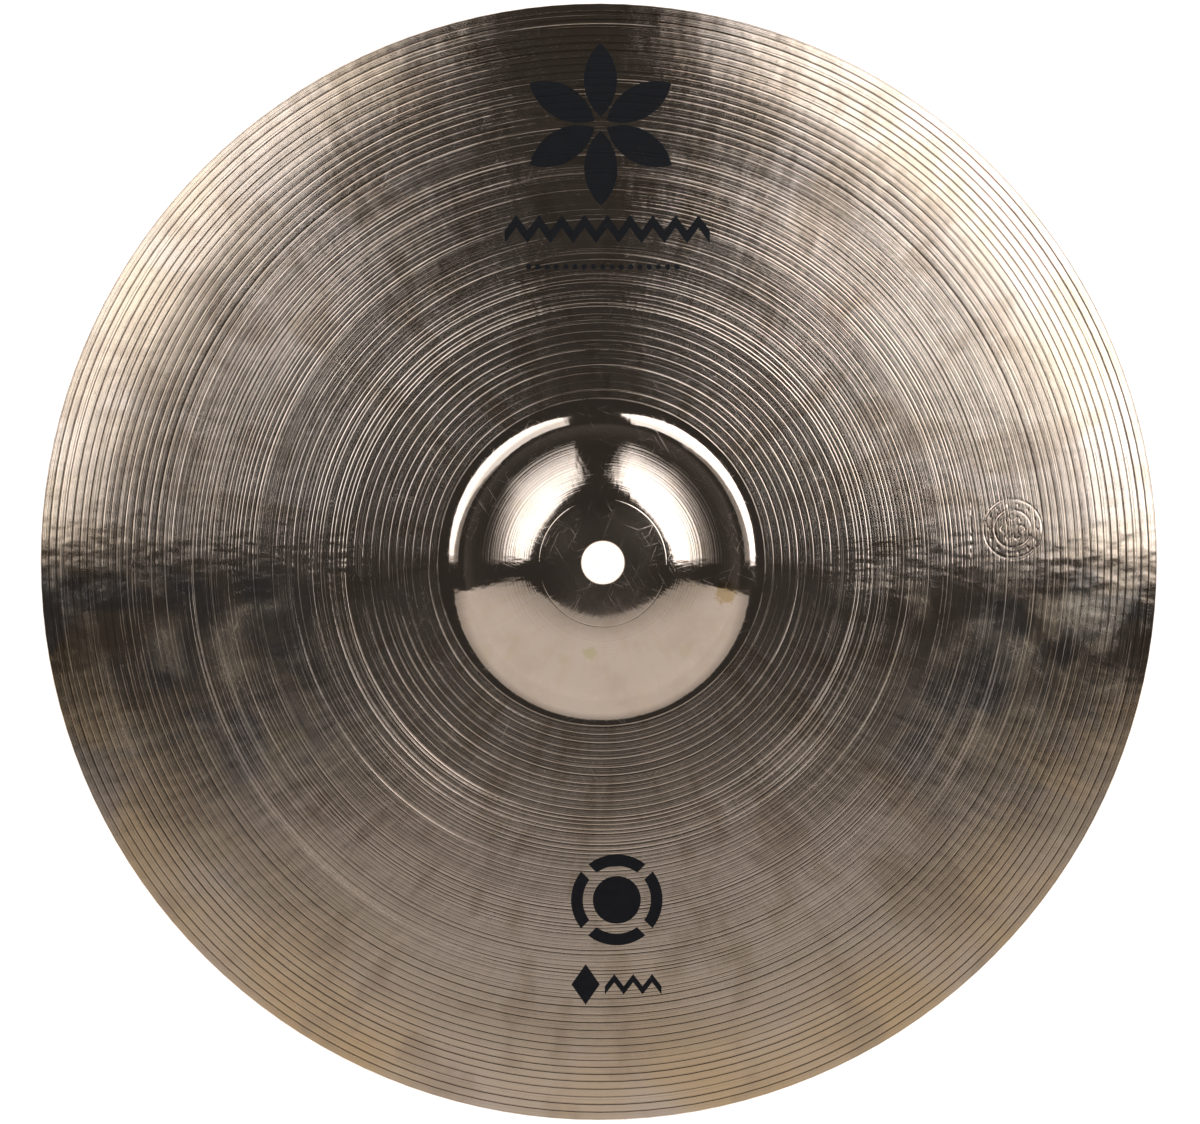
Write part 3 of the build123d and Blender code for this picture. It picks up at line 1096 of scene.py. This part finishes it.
def box_light(nodes, u, v, up):
    """Glow of the soft boxes and of the light that spills beside them."""
    along = nodes.combine(u, v, 1.0)
    boxes = None
    for corners, glow in (
        (LEFT_BOX, LEFT_GLOW),
        (RIGHT_BOX, RIGHT_GLOW),
        (LEFT_SPILL, SPILL_GLOW),
        (RIGHT_SPILL, SPILL_GLOW),
    ):
        lit = nodes.times(polygon_mask(nodes, along, corners, BOX_SOFTNESS), glow)
        boxes = lit if boxes is None else nodes.math("MAXIMUM", boxes, lit)
    slope = nodes.vector("LENGTH", nodes.combine(u, v, 0.0))
    boxes = nodes.times(boxes, nodes.ramp(slope, BOX_FADE[0], BOX_FADE[1], 1.0, BOX_FADE[2]))
    return nodes.times(boxes, nodes.ramp(up, 0.02, 0.08))


def table_light(nodes, side, forward, up):
    """Glow of the pale table in front, low down."""
    down = nodes.times(forward, -1.0)
    side = nodes.math("ABSOLUTE", side)
    spread = nodes.minus(nodes.times(down, TABLE_SPREAD), side)
    reach = nodes.minus(nodes.times(down, TABLE_REACH), up)
    reach = nodes.plus(reach, nodes.times(side, TABLE_FLARE))
    table = nodes.times(nodes.ramp(spread, 0.0, 0.06), nodes.ramp(reach, 0.0, 0.05))
    table = nodes.times(table, nodes.ramp(reach, 0.0, 1.5, TABLE_NEAR, 1.0))
    return nodes.times(table, TABLE_GLOW)


def make_world():
    """Two large soft boxes over the cymbal, a pale table in front of it, and a dark room."""
    world = bpy.data.worlds.new("studio")
    world.use_nodes = True
    tree = world.node_tree
    tree.nodes.clear()
    nodes = Nodes(tree)
    side, forward, up = nodes.separate(nodes.add("ShaderNodeTexCoord").outputs["Generated"])
    rise = nodes.math("MAXIMUM", up, 0.02)
    boxes = box_light(nodes, nodes.math("DIVIDE", side, rise), nodes.math("DIVIDE", forward, rise), up)
    glow = nodes.plus(boxes, table_light(nodes, side, forward, up))
    glow = nodes.plus(glow, nodes.ramp(up, 0.28, 0.10, ROOM_GLOW, WALL_GLOW))
    colour = nodes.mix(nodes.math("MINIMUM", boxes, 1.0), rgb(1, 1, 1), BOX_COLOUR)
    seen = nodes.add("ShaderNodeLightPath").outputs["Is Camera Ray"]
    studio = nodes.add("ShaderNodeBackground", {"Color": colour, "Strength": glow})
    backdrop = nodes.add("ShaderNodeBackground", {"Color": rgb(1, 1, 1), "Strength": BACKDROP_GLOW})
    mixed = nodes.add("ShaderNodeMixShader", {0: seen, 1: studio.outputs[0], 2: backdrop.outputs[0]})
    nodes.add("ShaderNodeOutputWorld", {"Surface": mixed.outputs[0]})
    bpy.context.scene.world = world


def make_floor():
    """The floor that the rim rests on."""
    half = 6000.0
    corners = [(-half, -half, 0), (half, -half, 0), (half, half, 0), (-half, half, 0)]
    floor = mesh_object("floor", corners, [(0, 1, 2, 3)])
    floor.data.materials.append(floor_material())


# The camera looks down the axis from a couple of metres, a touch from the left
VIEW_DISTANCE = 2200.0
VIEW_OFFSET = (-62.0, 12.0)
FRAME_WIDTH = 382.0           # what the picture's width spans at the rim, in millimetres


def make_camera():
    """The camera at the photo's angle, with a long lens."""
    data = bpy.data.cameras.new("view")
    data.sensor_width = 36.0
    data.lens = data.sensor_width * VIEW_DISTANCE / FRAME_WIDTH
    data.clip_start = 0.05
    data.clip_end = 50.0
    camera = bpy.data.objects.new("view", data)
    bpy.context.scene.collection.objects.link(camera)
    at = Vector((VIEW_OFFSET[0], VIEW_OFFSET[1], VIEW_DISTANCE)) * MM
    back = at.normalized()
    right = Vector((0, 1, 0)).cross(back).normalized()
    turn = Matrix((right, back.cross(right), back)).transposed()
    camera.location = at
    camera.rotation_euler = turn.to_euler()
    bpy.context.scene.camera = camera


def set_picture():
    """Plain colours, with no film look."""
    settings = bpy.context.scene.view_settings
    settings.view_transform = "Standard"
    settings.look = "None"
    settings.exposure = 0.0
    settings.gamma = 1.0


# ---------------------------------------------------------------- make it all
make_camera()
make_world()
make_floor()
set_picture()

plate = build_plate()
points = np.concatenate(plate.points)
cymbal = mesh_object("cymbal_plate_turned", points, plate.faces, np.concatenate(plate.normals))
finishes = {
    "bell": bell_material(),
    "bow": bow_material(),
    "edge": edge_material(),
    "under": under_material(),
}
for material in finishes.values():
    cymbal.data.materials.append(material)
order = list(finishes)
cymbal.data.polygons.foreach_set("material_index", [order.index(name) for name in plate.finish])
# how deep each point lies in a groove, which drives the painted shade in the grooves
darkening = cymbal.data.attributes.new("groove_painted_shade", "FLOAT", "POINT")
darkening.data.foreach_set("value", groove_painted_shade(points))
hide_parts("cymbal_plate")
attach(cymbal, "root")

ink = ink_material()
PRINTS = {
    "upper_rosette_print": rosette_outlines,
    "upper_band_print": band_outlines,
    "upper_dot_row_print": dot_outlines,
    "lower_wheel_print": wheel_outlines,
    "lower_footer_print": footer_outlines,
}
for node, outlines_of in PRINTS.items():
    build_print(node, outlines_of(node)).data.materials.append(ink)
